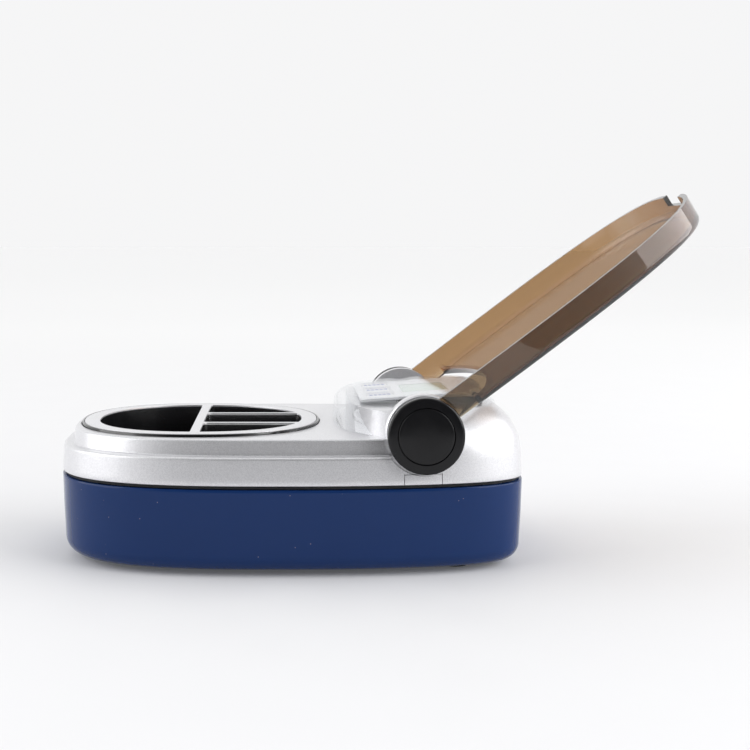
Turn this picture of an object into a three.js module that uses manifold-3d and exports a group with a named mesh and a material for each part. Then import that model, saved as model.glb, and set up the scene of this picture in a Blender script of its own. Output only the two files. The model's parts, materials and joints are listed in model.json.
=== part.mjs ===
// Tabletop pill station: a blue base, a silver top with a divided tray and a raised console,
// and a smoke-brown lid that swings on two round side hinges. Millimetres, +Z up.
// +X points to the console end, +Y to the far side.
// The lid stands open here, which is how it rests on its stop.
import * as THREE from "three";
import { mergeVertices } from "three/addons/utils/BufferGeometryUtils.js";
import Module from "manifold-3d";

const wasm = await Module();
wasm.setup();

// ---- Driving dimensions -------------------------------------------------------------

const GAP = 0.3; // clearance between pieces that touch
const WALL = 2.2; // wall of both shells
const FAR_OUT = 70; // cutting tools reach this far, past everything

// Plan outline of the body, widest at x = 0
const HALF_LENGTH = 90;
const HALF_WIDTH = 58.4;
const FRONT_POWER = 2.95; // roundness of the front end, 2 is an ellipse
const REAR_POWER = 6.8; // the rear end is blunter
const REAR_TAPER = 0.19; // how much the rear half narrows
const OUTLINE_STEPS = 60;

// Heights above the table
const BASE_BOTTOM = 2;
const BASE_FLOOR = 5;
const BASE_TOP = 32.6;
const TOP_BOTTOM = 34;
const LEDGE = 44.5;
const DECK = 50.5;
const HEAD_TOP = 60.3;

// Console end
const HEAD_CENTRE = 47;
const HEAD_FRONT = 23.5; // reach of the head forward of its centre
const HEAD_HALF = 49;
const ROUNDING_START = 42.7; // height where the shoulders begin to round over
const ROUNDING_HEIGHT = 18.5;
const ROUNDING_REACH = 15.5;
const CONSOLE_TILT = THREE.MathUtils.degToRad(4);
const PANEL_X = [27.5, 74];
const PANEL_HALF = 28;
const PANEL_FRONT_HEIGHT = 62.1;
const LENS_CENTRE = 50.3;
const LENS_REACH = 32.5;
const LENS_HALF = 47.5;

// Tray
const TRAY_CENTRE = -35.6;
const TRAY_REACH = 47.6;
const TRAY_HALF = 47;
const TRAY_POWER = 2.25;
const TRAY_BOTTOM = 20;
const RIM_WIDTH = 7;
const RIM_RISE = 0.95; // the tray's black border stands this far above the deck
const BORDER = 0.8;
const CELL_DRAFT = 2;
const FLANGE_DEPTH = 0.9; // thickness of the flange that lies in the deck's rebate
const CROSSBAR = [-37.5, -34];
const DIVIDER = [13.3, 15.4];

// Hinge and lid
const HINGE_X = 49.7;
const HINGE_Z = 52.4;
const HINGE_SIDE = 51.3; // outer face of the silver cheeks
const CHEEK_RADIUS = 14.4;
const CHEEK_THICK = 5;
const CAP_RADIUS = 14.1;
const POCKET_RADIUS = 15.2;
const POCKET_FLOOR = 54.2; // the caps stand in round pockets of the side walls
const CAP_SIDE = [56.3, 59.5];
const HUB_RADIUS = 7.5;
const PIN_RADIUS = 2.2;
const LID_OPEN = THREE.MathUtils.degToRad(142.8);
const LID_INSET = 1.3; // the lid's wall stands this far inside the body's outline
const LID_WALL = 1.8;
const LID_BOTTOM = 44.85;
const LID_TOP = 55.4;
const LID_PLATE = 1.4;
const LIP_DEPTH = 1.2; // the plate is thicker along its curved end
const LIP_WIDTH = 1.8;
const LID_CROWN = 3;
const LID_PLATE_END = 16.4;
const PLATE_END_RADIUS = 137; // the plate's end curves gently towards the hinge
const LID_LEAN = 0.6; // the walls lean in this much
const NOTCH_HALF = 10;
const NOTCH_HEIGHT = 4;

// Batteries under the console end
const CELL_X = [38.4, 53.6];
const CELL_RADIUS = 7;
const CELL_LENGTH = 50;
const CELL_HEIGHT = 12.5;
const DOOR_TRAVEL = 12;

// ---- Materials ----------------------------------------------------------------------

function material(color, roughness, metalness, opacity = 1) {
  return new THREE.MeshStandardMaterial({ color, roughness, metalness, opacity, transparent: opacity < 1 });
}

const BLUE = material("#21305a", 0.2, 0);
const SILVER = material("#b8b8c0", 0.35, 0.6);
const BLACK = material("#141414", 0.15, 0);
const SMOKE = material("#5a4330", 0.08, 0, 0.6);
const CLEAR = material("#eef3f5", 0.05, 0, 0.3);
const PANEL = material("#dcdfe4", 0.3, 0.3);
const SCREEN = material("#b9d3bd", 0.2, 0);
const KEY = material("#cfd4e2", 0.4, 0);
const DARK = material("#2a2b2e", 0.5, 0);
const RUBBER = material("#1d1d1f", 0.9, 0);
const STEEL = material("#b5b7ba", 0.3, 1);
const BOARD = material("#1f5a35", 0.5, 0);
const CELL = material("#3c4a46", 0.4, 0.3);

// ---- Solids -------------------------------------------------------------------------

function toSolid(geometry) {
  const plain = geometry.clone();
  plain.deleteAttribute("normal");
  plain.deleteAttribute("uv");
  const merged = mergeVertices(plain, 1e-4);
  const mesh = new wasm.Mesh({
    numProp: 3,
    vertProperties: new Float32Array(merged.attributes.position.array),
    triVerts: new Uint32Array(merged.index.array),
  });
  return new wasm.Manifold(mesh);
}

function toGeometry(solid) {
  const mesh = solid.getMesh();
  const geometry = new THREE.BufferGeometry();
  geometry.setAttribute("position", new THREE.BufferAttribute(new Float32Array(mesh.vertProperties), 3));
  geometry.setIndex(new THREE.BufferAttribute(new Uint32Array(mesh.triVerts), 1));
  geometry.computeVertexNormals();
  return geometry;
}

// A pair of y positions on the near (-1) or far (1) side, in rising order.
function sidewise(side, from, to) {
  return [side * from, side * to].sort((a, b) => a - b);
}

function box(x, y, z) {
  const geometry = new THREE.BoxGeometry(x[1] - x[0], y[1] - y[0], z[1] - z[0]);
  return geometry.translate((x[0] + x[1]) / 2, (y[0] + y[1]) / 2, (z[0] + z[1]) / 2);
}

function upright(x, y, radius, z, sides = 20) {
  const geometry = new THREE.CylinderGeometry(radius, radius, z[1] - z[0], sides);
  return geometry.rotateX(Math.PI / 2).translate(x, y, (z[0] + z[1]) / 2);
}

function across(x, z, radius, y, sides = 32) {
  const geometry = new THREE.CylinderGeometry(radius, radius, y[1] - y[0], sides);
  return geometry.translate(x, (y[0] + y[1]) / 2, z);
}

function extrude(loop, depth) {
  return new THREE.ExtrudeGeometry(new THREE.Shape(loop), { depth, bevelEnabled: false });
}

function extrudeUp(loop, z) {
  return extrude(loop, z[1] - z[0]).translate(0, 0, z[0]);
}

function extrudeAcross(loop, y) {
  return extrude(loop, y[1] - y[0]).rotateX(Math.PI / 2).translate(0, y[1], 0);
}

// Joins closed rings, listed from the bottom up, into one solid with a fan at each end.
function loft(rings) {
  const count = rings[0].length;
  const positions = rings.flat().flatMap((p) => [p.x, p.y, p.z]);
  const index = [];
  for (let ring = 0; ring < rings.length - 1; ring += 1) {
    for (let i = 0; i < count; i += 1) {
      const a = ring * count + i;
      const b = ring * count + ((i + 1) % count);
      index.push(a, b, b + count, a, b + count, a + count);
    }
  }
  const ends = [rings[0], rings[rings.length - 1]];
  ends.forEach((ring, end) => {
    const centre = ring.reduce((sum, p) => sum.add(p), new THREE.Vector3()).divideScalar(count);
    const hub = positions.length / 3;
    positions.push(centre.x, centre.y, centre.z);
    const start = end === 0 ? 0 : (rings.length - 1) * count;
    for (let i = 0; i < count; i += 1) {
      const a = start + i;
      const b = start + ((i + 1) % count);
      index.push(...(end === 0 ? [hub, b, a] : [hub, a, b]));
    }
  });
  const geometry = new THREE.BufferGeometry();
  geometry.setAttribute("position", new THREE.Float32BufferAttribute(positions, 3));
  geometry.setIndex(index);
  return geometry;
}

// ---- Plan outlines ------------------------------------------------------------------

// Reach of a superellipse of unit size in the direction of an angle.
function reach(angle, power) {
  return (Math.abs(Math.cos(angle)) ** power + Math.abs(Math.sin(angle)) ** power) ** (-1 / power);
}

function superellipse(centre, along, acrossHalf, power, steps = OUTLINE_STEPS) {
  return Array.from({ length: steps }, (_, i) => {
    const angle = (2 * Math.PI * i) / steps;
    const r = reach(angle, power);
    return new THREE.Vector2(centre + along * r * Math.cos(angle), acrossHalf * r * Math.sin(angle));
  });
}

// Moves every point of a smooth closed loop inwards by the same distance.
function insetLoop(loop, distance) {
  return loop.map((point, i) => {
    const before = loop[(i + loop.length - 1) % loop.length];
    const after = loop[(i + 1) % loop.length];
    const tangent = after.clone().sub(before).normalize();
    return new THREE.Vector2(point.x - tangent.y * distance, point.y + tangent.x * distance);
  });
}

const BODY_LOOP = Array.from({ length: OUTLINE_STEPS }, (_, i) => {
  const angle = (2 * Math.PI * i) / OUTLINE_STEPS;
  const front = Math.cos(angle) < 0;
  const r = reach(angle, front ? FRONT_POWER : REAR_POWER);
  const along = r * Math.cos(angle);
  const taper = front ? 1 : 1 - REAR_TAPER * along ** 2;
  return new THREE.Vector2(HALF_LENGTH * along, HALF_WIDTH * r * Math.sin(angle) * taper);
});

function atHeight(loop, z) {
  return loop.map((p) => new THREE.Vector3(p.x, p.y, z));
}

function bodyRing(z, inset) {
  return atHeight(insetLoop(BODY_LOOP, inset), z);
}

// A body-shaped solid from pairs of height and inset.
function bodySolid(levels) {
  return toSolid(loft(levels.map(([z, inset]) => bodyRing(z, inset))));
}

// Height of the console's sloping plane above the table, with the panel's top as zero.
function consoleHeight(x, above) {
  return PANEL_FRONT_HEIGHT + (x - PANEL_X[0]) * Math.tan(CONSOLE_TILT) + above;
}

// Everything below the console's sloping plane, between two x positions.
function underConsole(x, half, bottom, above) {
  const loop = [
    new THREE.Vector2(x[0], bottom),
    new THREE.Vector2(x[1], bottom),
    new THREE.Vector2(x[1], consoleHeight(x[1], above)),
    new THREE.Vector2(x[0], consoleHeight(x[0], above)),
  ];
  return extrudeAcross(loop, [-half, half]);
}

// ---- Base ---------------------------------------------------------------------------

const POSTS = [
  [-64, 39.5],
  [-64, -39.5],
  [77, 37],
  [77, -37],
];
const POST_RADIUS = 3.6;
const POST_JOIN = 24; // height where the lower and upper posts meet
const POST_BORE = 1.75;
const SCREW_RADIUS = 1.4;
const SCREW_SEAT = 12;
const SCREW_HEAD = 2.5;
const SCREW_TIP = POST_JOIN + 8;

const FOOT_RADIUS = 5;
const FOOT_SEAT = BASE_BOTTOM + 0.8; // top of the shallow pockets that hold the feet
const FEET = [
  [-58, 26],
  [-58, -26],
  [63, 34.5],
  [63, -34.5],
];

const DOOR_X = [29, 63];
const DOOR_HALF = 26;
const DOOR_TONGUE = 28;
const DOOR_MOUTH_TOP = 3.2;
const DOOR_CHANNEL = [3, 4.2]; // the tongues slide in this groove
const GRIP_RIBS = 4;
const GRIP_PITCH = 2.4;
const GRIP_WIDTH = 1.1;
const GRIP_HALF = 9;

function baseShell() {
  const fillet = 6;
  const filletSteps = 4;
  const outer = [];
  for (let step = 0; step <= filletSteps; step += 1) {
    const turn = (step / filletSteps) * (Math.PI / 2);
    outer.push([BASE_BOTTOM + fillet * (1 - Math.cos(turn)), 1 + fillet * (1 - Math.sin(turn))]);
  }
  outer.push([BASE_TOP - 0.6, 0.05], [BASE_TOP, 0.6]);
  const inner = [
    [BASE_FLOOR, WALL + 5],
    [BASE_FLOOR + 3, WALL + 1.6],
    [BASE_TOP + 1, WALL],
  ];
  let shell = bodySolid(outer).subtract(bodySolid(inner));
  for (const [x, y] of POSTS) {
    shell = shell.add(toSolid(upright(x, y, POST_RADIUS, [BASE_FLOOR - 1, POST_JOIN])));
    shell = shell.subtract(toSolid(upright(x, y, POST_BORE, [BASE_BOTTOM - 1, POST_JOIN + 1])));
    shell = shell.subtract(toSolid(upright(x, y, SCREW_HEAD + GAP, [BASE_BOTTOM - 1, SCREW_SEAT])));
  }
  const recess = [DOOR_X[0] - GAP, DOOR_X[1] + DOOR_TRAVEL + 0.5];
  const mouth = box(recess, [-DOOR_HALF - GAP, DOOR_HALF + GAP], [BASE_BOTTOM - 1, DOOR_MOUTH_TOP]);
  const channel = box(recess, [-DOOR_TONGUE - GAP, DOOR_TONGUE + GAP], DOOR_CHANNEL);
  const window = box([DOOR_X[0] + 2, DOOR_X[1] - 2], [-DOOR_HALF + 1, DOOR_HALF - 1], [4, BASE_FLOOR + 1]);
  for (const cut of [mouth, channel, window]) shell = shell.subtract(toSolid(cut));
  for (const [x, y] of FEET) {
    shell = shell.subtract(toSolid(upright(x, y, FOOT_RADIUS + GAP, [BASE_BOTTOM - 1, FOOT_SEAT])));
  }
  return toGeometry(shell);
}

function batteryDoor() {
  const body = toSolid(box(DOOR_X, [-DOOR_HALF, DOOR_HALF], [BASE_BOTTOM + 0.1, 3.4]));
  const tongue = toSolid(box(DOOR_X, [-DOOR_TONGUE, DOOR_TONGUE], [3.4, 3.9]));
  let door = body.add(tongue);
  for (let rib = 0; rib < GRIP_RIBS; rib += 1) {
    const x = DOOR_X[0] + 4 + rib * GRIP_PITCH;
    const groove = box([x, x + GRIP_WIDTH], [-GRIP_HALF, GRIP_HALF], [BASE_BOTTOM - 1, BASE_BOTTOM + 0.7]);
    door = door.subtract(toSolid(groove));
  }
  return toGeometry(door);
}

function foot(x, y) {
  return upright(x, y, FOOT_RADIUS, [0, FOOT_SEAT - GAP], 24);
}

function screw(x, y) {
  const shank = toSolid(upright(x, y, SCREW_RADIUS, [SCREW_SEAT - 1.5, SCREW_TIP], 12));
  const head = toSolid(upright(x, y, SCREW_HEAD, [SCREW_SEAT - 3, SCREW_SEAT - GAP - 0.5], 16));
  return toGeometry(shank.add(head));
}

function seamGasket() {
  const low = BASE_TOP + GAP;
  const high = TOP_BOTTOM - GAP;
  const ring = bodySolid([
    [low, 1],
    [high, 1],
  ]);
  const bore = bodySolid([
    [low - 1, WALL - 0.2],
    [high + 1, WALL - 0.2],
  ]);
  return toGeometry(ring.subtract(bore));
}

// ---- Console sizes ------------------------------------------------------------------

const PANEL_THICK = 0.9;
const LENS_THICK = 0.6;
const SCREEN_X = [45, 63];
const SCREEN_HALF = 13;
const SCREEN_HOLE_X = [SCREEN_X[0] - 1, SCREEN_X[1] + 1];
const SCREEN_HOLE = SCREEN_HALF + 1;
const KEY_X = [30.4, 40.8];
const KEY_HALF = 2.6;
const KEY_PITCH = 17;
const KEY_TRAVEL = 0.6;
const KEY_SINK = 0.8; // the keys lie this far below the lens's top
const KEY_FLANGE_TOP = HEAD_TOP + 0.7;
const KEY_FLANGE_THICK = 0.9;
const KEY_FLANGE_REACH = 1; // the flange is this much wider than the key
const KEY_STEM = { inset: 3, half: 1.5 };
const KEY_WINDOW_X = [KEY_X[0] - 1.6, KEY_X[1] + 1.6];
const KEY_WINDOW_HALF = KEY_PITCH + KEY_HALF + 1.6;
const BOARD_Z = [HEAD_TOP - 6.2, HEAD_TOP - 4.6];

// ---- Top shell ----------------------------------------------------------------------

function shoulderInset(z) {
  const rise = (z - ROUNDING_START) / ROUNDING_HEIGHT;
  return 0.6 + ROUNDING_REACH * (1 - Math.sqrt(1 - rise ** 2));
}

// The head rounds over at its sides and rear; grow is positive outwards.
function headSolid(top, grow) {
  const steps = [0, 0.25, 0.45, 0.62, 0.76, 0.87, 0.95, 1];
  const levels = steps.map((step) => {
    const z = ROUNDING_START + step * (HEAD_TOP - ROUNDING_START);
    return [ROUNDING_START + step * (top - ROUNDING_START), shoulderInset(z) - grow];
  });
  const rounded = bodySolid(levels);
  const front = superellipse(HEAD_CENTRE, HEAD_FRONT + grow, HEAD_HALF + grow, 3, 48);
  const plan = toSolid(extrudeUp(front, [ROUNDING_START - 2, HEAD_TOP + 4]));
  const rear = toSolid(box([HEAD_CENTRE, HALF_LENGTH + 5], [-60, 60], [ROUNDING_START - 2, HEAD_TOP + 4]));
  return rounded.intersect(plan.add(rear));
}

function upperPosts() {
  return POSTS.map(([x, y]) => toSolid(upright(x, y, POST_RADIUS, [POST_JOIN + GAP, LEDGE - 1.2])));
}

function topShellBlank() {
  const outer = bodySolid([
    [TOP_BOTTOM, 0],
    [LEDGE - 0.9, 0.6],
    [LEDGE - 0.25, 0.85],
    [LEDGE, 1.5],
    [LEDGE + 0.01, 4.3],
    [LEDGE + 0.3, 4.5],
    [DECK - 0.8, 4.9],
    [DECK - 0.2, 5.3],
    [DECK, 6.1],
  ]);
  const inner = bodySolid([
    [TOP_BOTTOM - 1, WALL],
    [LEDGE - WALL, WALL + 0.6],
    [LEDGE - WALL + 0.01, WALL + 4.4],
    [DECK - WALL, WALL + 5],
  ]);
  const headHollow = headSolid(HEAD_TOP - WALL, -WALL - 0.2);
  let shell = outer.add(headSolid(HEAD_TOP, 0)).subtract(inner).subtract(headHollow);
  for (const post of upperPosts()) shell = shell.add(post);
  for (const side of [-1, 1]) {
    const cheek = sidewise(side, HINGE_SIDE, HINGE_SIDE - CHEEK_THICK);
    shell = shell.add(toSolid(across(HINGE_X, HINGE_Z, CHEEK_RADIUS, cheek, 40)));
    const outside = sidewise(side, HINGE_SIDE, FAR_OUT);
    const above = toSolid(box([0, FAR_OUT * 2], [-FAR_OUT, FAR_OUT], [LEDGE + 0.05, FAR_OUT * 2]));
    const pastFloor = sidewise(side, POCKET_FLOOR, FAR_OUT);
    const deep = toSolid(across(HINGE_X, HINGE_Z, POCKET_RADIUS, outside, 40));
    const shallow = toSolid(across(HINGE_X, HINGE_Z, POCKET_RADIUS, pastFloor, 40));
    shell = shell.subtract(deep.intersect(above)).subtract(shallow);
    const through = sidewise(side, HINGE_SIDE - CHEEK_THICK - 1, HINGE_SIDE + 1);
    shell = shell.subtract(toSolid(across(HINGE_X, HINGE_Z, PIN_RADIUS + GAP, through, 24)));
  }
  return shell;
}

const INSERT_X = [41.9, 56.2];
const INSERT_TOP = 38;

function insertBlock(side, margin) {
  const x = [INSERT_X[0] + margin, INSERT_X[1] - margin];
  const y = sidewise(side, 40, 70);
  return toSolid(box(x, y, [TOP_BOTTOM - 1, INSERT_TOP - margin]));
}

function topShell() {
  let shell = topShellBlank();
  for (const side of [-1, 1]) shell = shell.subtract(insertBlock(side, 0));
  const opening = superellipse(TRAY_CENTRE, TRAY_REACH - 2, TRAY_HALF - 2, TRAY_POWER, 52);
  shell = shell.subtract(toSolid(extrudeUp(opening, [DECK - 8, DECK + 4])));
  const rebate = superellipse(TRAY_CENTRE, TRAY_REACH + GAP, TRAY_HALF + GAP, TRAY_POWER, 52);
  shell = shell.subtract(toSolid(extrudeUp(rebate, [DECK - FLANGE_DEPTH - GAP, DECK + 4])));
  for (const [x, y] of POSTS) {
    shell = shell.subtract(toSolid(upright(x, y, POST_BORE, [POST_JOIN - 1, SCREW_TIP + 1])));
  }
  shell = shell.subtract(toSolid(box(SCREEN_HOLE_X, [-SCREEN_HOLE, SCREEN_HOLE], [50, HEAD_TOP + 2])));
  shell = shell.subtract(toSolid(box(KEY_WINDOW_X, [-KEY_WINDOW_HALF, KEY_WINDOW_HALF], [50, HEAD_TOP + 2])));
  return toGeometry(shell);
}

function hingeInsert(side) {
  return toGeometry(topShellBlank().intersect(insertBlock(side, GAP)));
}

// ---- Tray ---------------------------------------------------------------------------

// Replaces each sharp corner of a loop by a small curve.
function roundCorners(loop, radius) {
  return loop.flatMap((corner, i) => {
    const before = loop[(i + loop.length - 1) % loop.length];
    const after = loop[(i + 1) % loop.length];
    const incoming = corner.clone().sub(before).normalize();
    const outgoing = after.clone().sub(corner).normalize();
    if (incoming.dot(outgoing) > 0.85) return [corner];
    const back = Math.min(radius, corner.distanceTo(before) * 0.45);
    const ahead = Math.min(radius, corner.distanceTo(after) * 0.45);
    const start = corner.clone().addScaledVector(incoming, -back);
    const end = corner.clone().addScaledVector(outgoing, ahead);
    return new THREE.QuadraticBezierCurve(start, corner, end).getPoints(3);
  });
}

// The part of the tray's inner outline that lies between the given limits.
function cellLoop(x, y) {
  const inner = superellipse(TRAY_CENTRE, TRAY_REACH - RIM_WIDTH, TRAY_HALF - RIM_WIDTH, TRAY_POWER, 72);
  const clipped = clipLoop(clipLoop(inner, "x", x), "y", y);
  return roundCorners(simplify(clipped), 3.2);
}

function clipLoop(loop, axis, limits) {
  let result = loop;
  limits.forEach((limit, side) => {
    const inside = (p) => (side === 0 ? p[axis] >= limit : p[axis] <= limit);
    result = result.flatMap((point, i) => {
      const next = result[(i + 1) % result.length];
      const kept = inside(point) ? [point] : [];
      if (inside(point) === inside(next)) return kept;
      const t = (limit - point[axis]) / (next[axis] - point[axis]);
      return [...kept, point.clone().lerp(next, t)];
    });
  });
  return result;
}

// Drops points that lie closer than 1.5 mm to the one before.
function simplify(loop) {
  return loop.filter((point, i) => i === 0 || point.distanceTo(loop[i - 1]) > 1.5);
}

const CELLS = [
  cellLoop([-100, CROSSBAR[0]], [-60, 60]),
  cellLoop([CROSSBAR[1], 60], [DIVIDER[1], 60]),
  cellLoop([CROSSBAR[1], 60], [-DIVIDER[0], DIVIDER[0]]),
  cellLoop([CROSSBAR[1], 60], [-60, -DIVIDER[1]]),
];

function trayOutline(shrink) {
  return superellipse(TRAY_CENTRE, TRAY_REACH - shrink, TRAY_HALF - shrink, TRAY_POWER, 52);
}

// The hollow of one cell narrows towards its floor.
function cellRoom(loop) {
  const levels = [
    [TRAY_BOTTOM + 2, CELL_DRAFT],
    [DECK + 0.1, 0],
    [DECK + 4, 0],
  ];
  return toSolid(loft(levels.map(([z, inset]) => atHeight(insetLoop(loop, inset), z))));
}

function trayTub() {
  let tub = toSolid(extrudeUp(trayOutline(5), [TRAY_BOTTOM, DECK]));
  tub = tub.add(toSolid(extrudeUp(trayOutline(0), [DECK - FLANGE_DEPTH, DECK + RIM_RISE])));
  tub = tub.subtract(toSolid(extrudeUp(trayOutline(BORDER), [DECK + 0.1, DECK + 4])));
  for (const cell of CELLS) tub = tub.subtract(cellRoom(cell));
  return toGeometry(tub);
}

function trayTrim() {
  let trim = toSolid(extrudeUp(trayOutline(BORDER + GAP), [DECK + 0.1 + GAP, DECK + RIM_RISE + 0.1]));
  for (const cell of CELLS) trim = trim.subtract(cellRoom(cell));
  return toGeometry(trim);
}

// ---- Console ------------------------------------------------------------------------

function keyHole(index, margin) {
  const y = (index - 1) * KEY_PITCH;
  const half = KEY_HALF + margin;
  return box([KEY_X[0] - margin, KEY_X[1] + margin], [y - half, y + half], [HEAD_TOP - 5, HEAD_TOP + 10]);
}

function consoleWedge() {
  let wedge = toSolid(underConsole([33.5, PANEL_X[1]], PANEL_HALF, HEAD_TOP + GAP, -PANEL_THICK - GAP));
  wedge = wedge.subtract(toSolid(box(SCREEN_HOLE_X, [-SCREEN_HOLE, SCREEN_HOLE], [50, 80])));
  wedge = wedge.subtract(toSolid(box([20, KEY_X[1] + 1], [-60, 60], [50, 80])));
  return toGeometry(wedge);
}

function consolePanel() {
  const slab = toSolid(underConsole(PANEL_X, PANEL_HALF, 40, 0));
  const below = toSolid(underConsole([10, 90], 60, 30, -PANEL_THICK));
  let panel = slab.subtract(below);
  for (let key = 0; key < 3; key += 1) panel = panel.subtract(toSolid(keyHole(key, GAP)));
  panel = panel.subtract(toSolid(box(SCREEN_X, [-SCREEN_HALF, SCREEN_HALF], [50, 80])));
  return toGeometry(panel);
}

function lcdGlass() {
  const x = [SCREEN_X[0] + GAP, SCREEN_X[1] - GAP];
  const slab = toSolid(underConsole(x, SCREEN_HALF - GAP, 40, -0.2));
  return toGeometry(slab.subtract(toSolid(underConsole([10, 90], 60, 30, -2))));
}

function lcdModule() {
  const x = [SCREEN_X[0] - 0.5, SCREEN_X[1] + 0.5];
  return toGeometry(toSolid(underConsole(x, SCREEN_HALF + 0.5, BOARD_Z[1] + GAP, -2.4)));
}

// A key stands through the panel and the lens. Its flange stays under the panel, and its
// stem ends just above the board, where it has room for its travel.
function consoleKey(index) {
  const y = (index - 1) * KEY_PITCH;
  const half = KEY_HALF + KEY_FLANGE_REACH;
  const flangeX = [KEY_X[0] - KEY_FLANGE_REACH, KEY_X[1] + KEY_FLANGE_REACH];
  const flange = box(flangeX, [y - half, y + half], [KEY_FLANGE_TOP - KEY_FLANGE_THICK, KEY_FLANGE_TOP]);
  const stemX = [KEY_X[0] + KEY_STEM.inset, KEY_X[1] - KEY_STEM.inset];
  const stemZ = [BOARD_Z[1] + KEY_TRAVEL + 0.2, KEY_FLANGE_TOP - KEY_FLANGE_THICK / 2];
  const stem = box(stemX, [y - KEY_STEM.half, y + KEY_STEM.half], stemZ);
  const head = toSolid(underConsole([20, 60], 50, KEY_FLANGE_TOP - 0.5, LENS_THICK + GAP - KEY_SINK));
  return toGeometry(head.intersect(toSolid(keyHole(index, 0))).add(toSolid(flange)).add(toSolid(stem)));
}

// The lens is steep at its front and leans in at its sides. Each level has a height and the
// distances by which the front and the sides lie inside the widest outline.
function consoleLens() {
  const levels = [
    [DECK + GAP, 0, 0],
    [HEAD_TOP - 3, 0.5, 5],
    [HEAD_TOP - 0.8, 1.2, 7.5],
    [HEAD_TOP + 0.6, 2.4, 10],
    [HEAD_TOP + 1.8, 4.6, 13],
    [HEAD_TOP + 6, 7, 18],
  ];
  const rings = levels.map(([z, front, side]) => {
    return atHeight(superellipse(LENS_CENTRE, LENS_REACH - front, LENS_HALF - side, 3), z);
  });
  let lens = toSolid(loft(rings));
  lens = lens.intersect(toSolid(underConsole([0, 90], 60, 40, LENS_THICK + GAP)));
  lens = lens.subtract(headSolid(HEAD_TOP + GAP, GAP));
  const room = [PANEL_X[0] - GAP, PANEL_X[1] + GAP];
  lens = lens.subtract(toSolid(underConsole(room, PANEL_HALF + GAP, HEAD_TOP - 4, GAP)));
  for (let key = 0; key < 3; key += 1) lens = lens.subtract(toSolid(keyHole(key, GAP)));
  return toGeometry(lens);
}

// ---- Lid ----------------------------------------------------------------------------

// The lid's walls lean in a little, round over, and rise as a low crown whose rings shrink
// towards the middle of the hinge end.
function lidBody(inset, bottom, roof) {
  const rings = [
    bodyRing(bottom, inset),
    bodyRing(roof - 3.6, inset + LID_LEAN),
    bodyRing(roof - 1.2, inset + LID_LEAN + 0.7),
  ];
  const loop = insetLoop(BODY_LOOP, inset + 3);
  const middle = new THREE.Vector2(LID_PLATE_END, 0);
  for (const shrink of [1, 0.85, 0.65, 0.4, 0.15]) {
    const z = roof + LID_CROWN * (1 - shrink ** 2);
    rings.push(loop.map((p) => {
      const q = p.clone().sub(middle).multiplyScalar(shrink).add(middle);
      return new THREE.Vector3(q.x, q.y, z);
    }));
  }
  return toSolid(loft(rings));
}

// Everything on the hinge side of the plate's curved end, or of a line just before it.
function behindPlate(before = 0) {
  const edge = new THREE.Path();
  const spread = Math.asin(58 / PLATE_END_RADIUS);
  const centre = LID_PLATE_END - before + PLATE_END_RADIUS;
  edge.absarc(centre, 0, PLATE_END_RADIUS, Math.PI - spread, Math.PI + spread, false);
  const loop = edge.getPoints(16);
  const last = loop[loop.length - 1];
  loop.push(new THREE.Vector2(2 * FAR_OUT, last.y), new THREE.Vector2(2 * FAR_OUT, loop[0].y));
  return loop;
}

function lid() {
  const outer = lidBody(LID_INSET, LID_BOTTOM, LID_TOP);
  const inner = lidBody(LID_INSET + LID_WALL, LID_BOTTOM - 2, LID_TOP - LID_PLATE);
  const solid = outer.subtract(inner);
  const arms = solid.intersect(toSolid(box([-100, HINGE_X], [-60, 60], [30, LID_TOP + 1])));
  const window = toSolid(extrudeUp(behindPlate(), [30, 70]));
  const keepWalls = bodySolid([
    [30, LID_INSET + LID_WALL],
    [LID_TOP - 3, LID_INSET + LID_WALL + LID_LEAN],
    [70, LID_INSET + LID_WALL + LID_LEAN + 1],
  ]);
  const roof = solid.subtract(window);
  const hollow = lidBody(LID_INSET + LID_WALL - 0.1, LID_BOTTOM - 2, LID_TOP - LID_PLATE + 0.1);
  const below = lidBody(LID_INSET + LID_WALL - 0.1, LID_BOTTOM - 2, LID_TOP - LID_PLATE - LIP_DEPTH);
  const band = toSolid(extrudeUp(behindPlate(LIP_WIDTH), [LID_TOP - 5, 70])).subtract(window);
  const lip = hollow.subtract(below).intersect(band);
  let piece = roof.add(lip).add(arms.subtract(keepWalls.intersect(window)));
  const betweenCheeks = [-HINGE_SIDE - GAP, HINGE_SIDE + GAP];
  piece = piece.subtract(toSolid(across(HINGE_X, HINGE_Z, CHEEK_RADIUS + 1.2, betweenCheeks, 40)));
  for (const side of [-1, 1]) {
    const y = sidewise(side, HINGE_SIDE + GAP, HINGE_SIDE + 2.4);
    piece = piece.add(toSolid(across(HINGE_X, HINGE_Z, HUB_RADIUS, y, 36)));
    const bore = sidewise(side, 40, 65);
    piece = piece.subtract(toSolid(across(HINGE_X, HINGE_Z, PIN_RADIUS + GAP, bore, 24)));
  }
  const notch = box([-100, -60], [-NOTCH_HALF, NOTCH_HALF], [LID_BOTTOM - 1, LID_BOTTOM + NOTCH_HEIGHT]);
  piece = piece.subtract(toSolid(notch));
  return toGeometry(piece).translate(-HINGE_X, 0, -HINGE_Z);
}

// ---- Hinge --------------------------------------------------------------------------

const DISC_RADIUS = 10.3;
const DISC_THICK = 1.6;
const DISC_PROUD = 0.1; // the disc stands this far out of the cap
const CAP_BEVEL = 0.8;
const CAP_STEM_RADIUS = 5.5;
const PIN_HEAD_RADIUS = 3;
const PIN_HEAD_THICK = 1.6;

// A round about the hinge's line, between two distances from the middle of the body.
function hingeRound(side, radius, from, to, sides = 36) {
  return toSolid(across(HINGE_X, HINGE_Z, radius, sidewise(side, from, to), sides));
}

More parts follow.
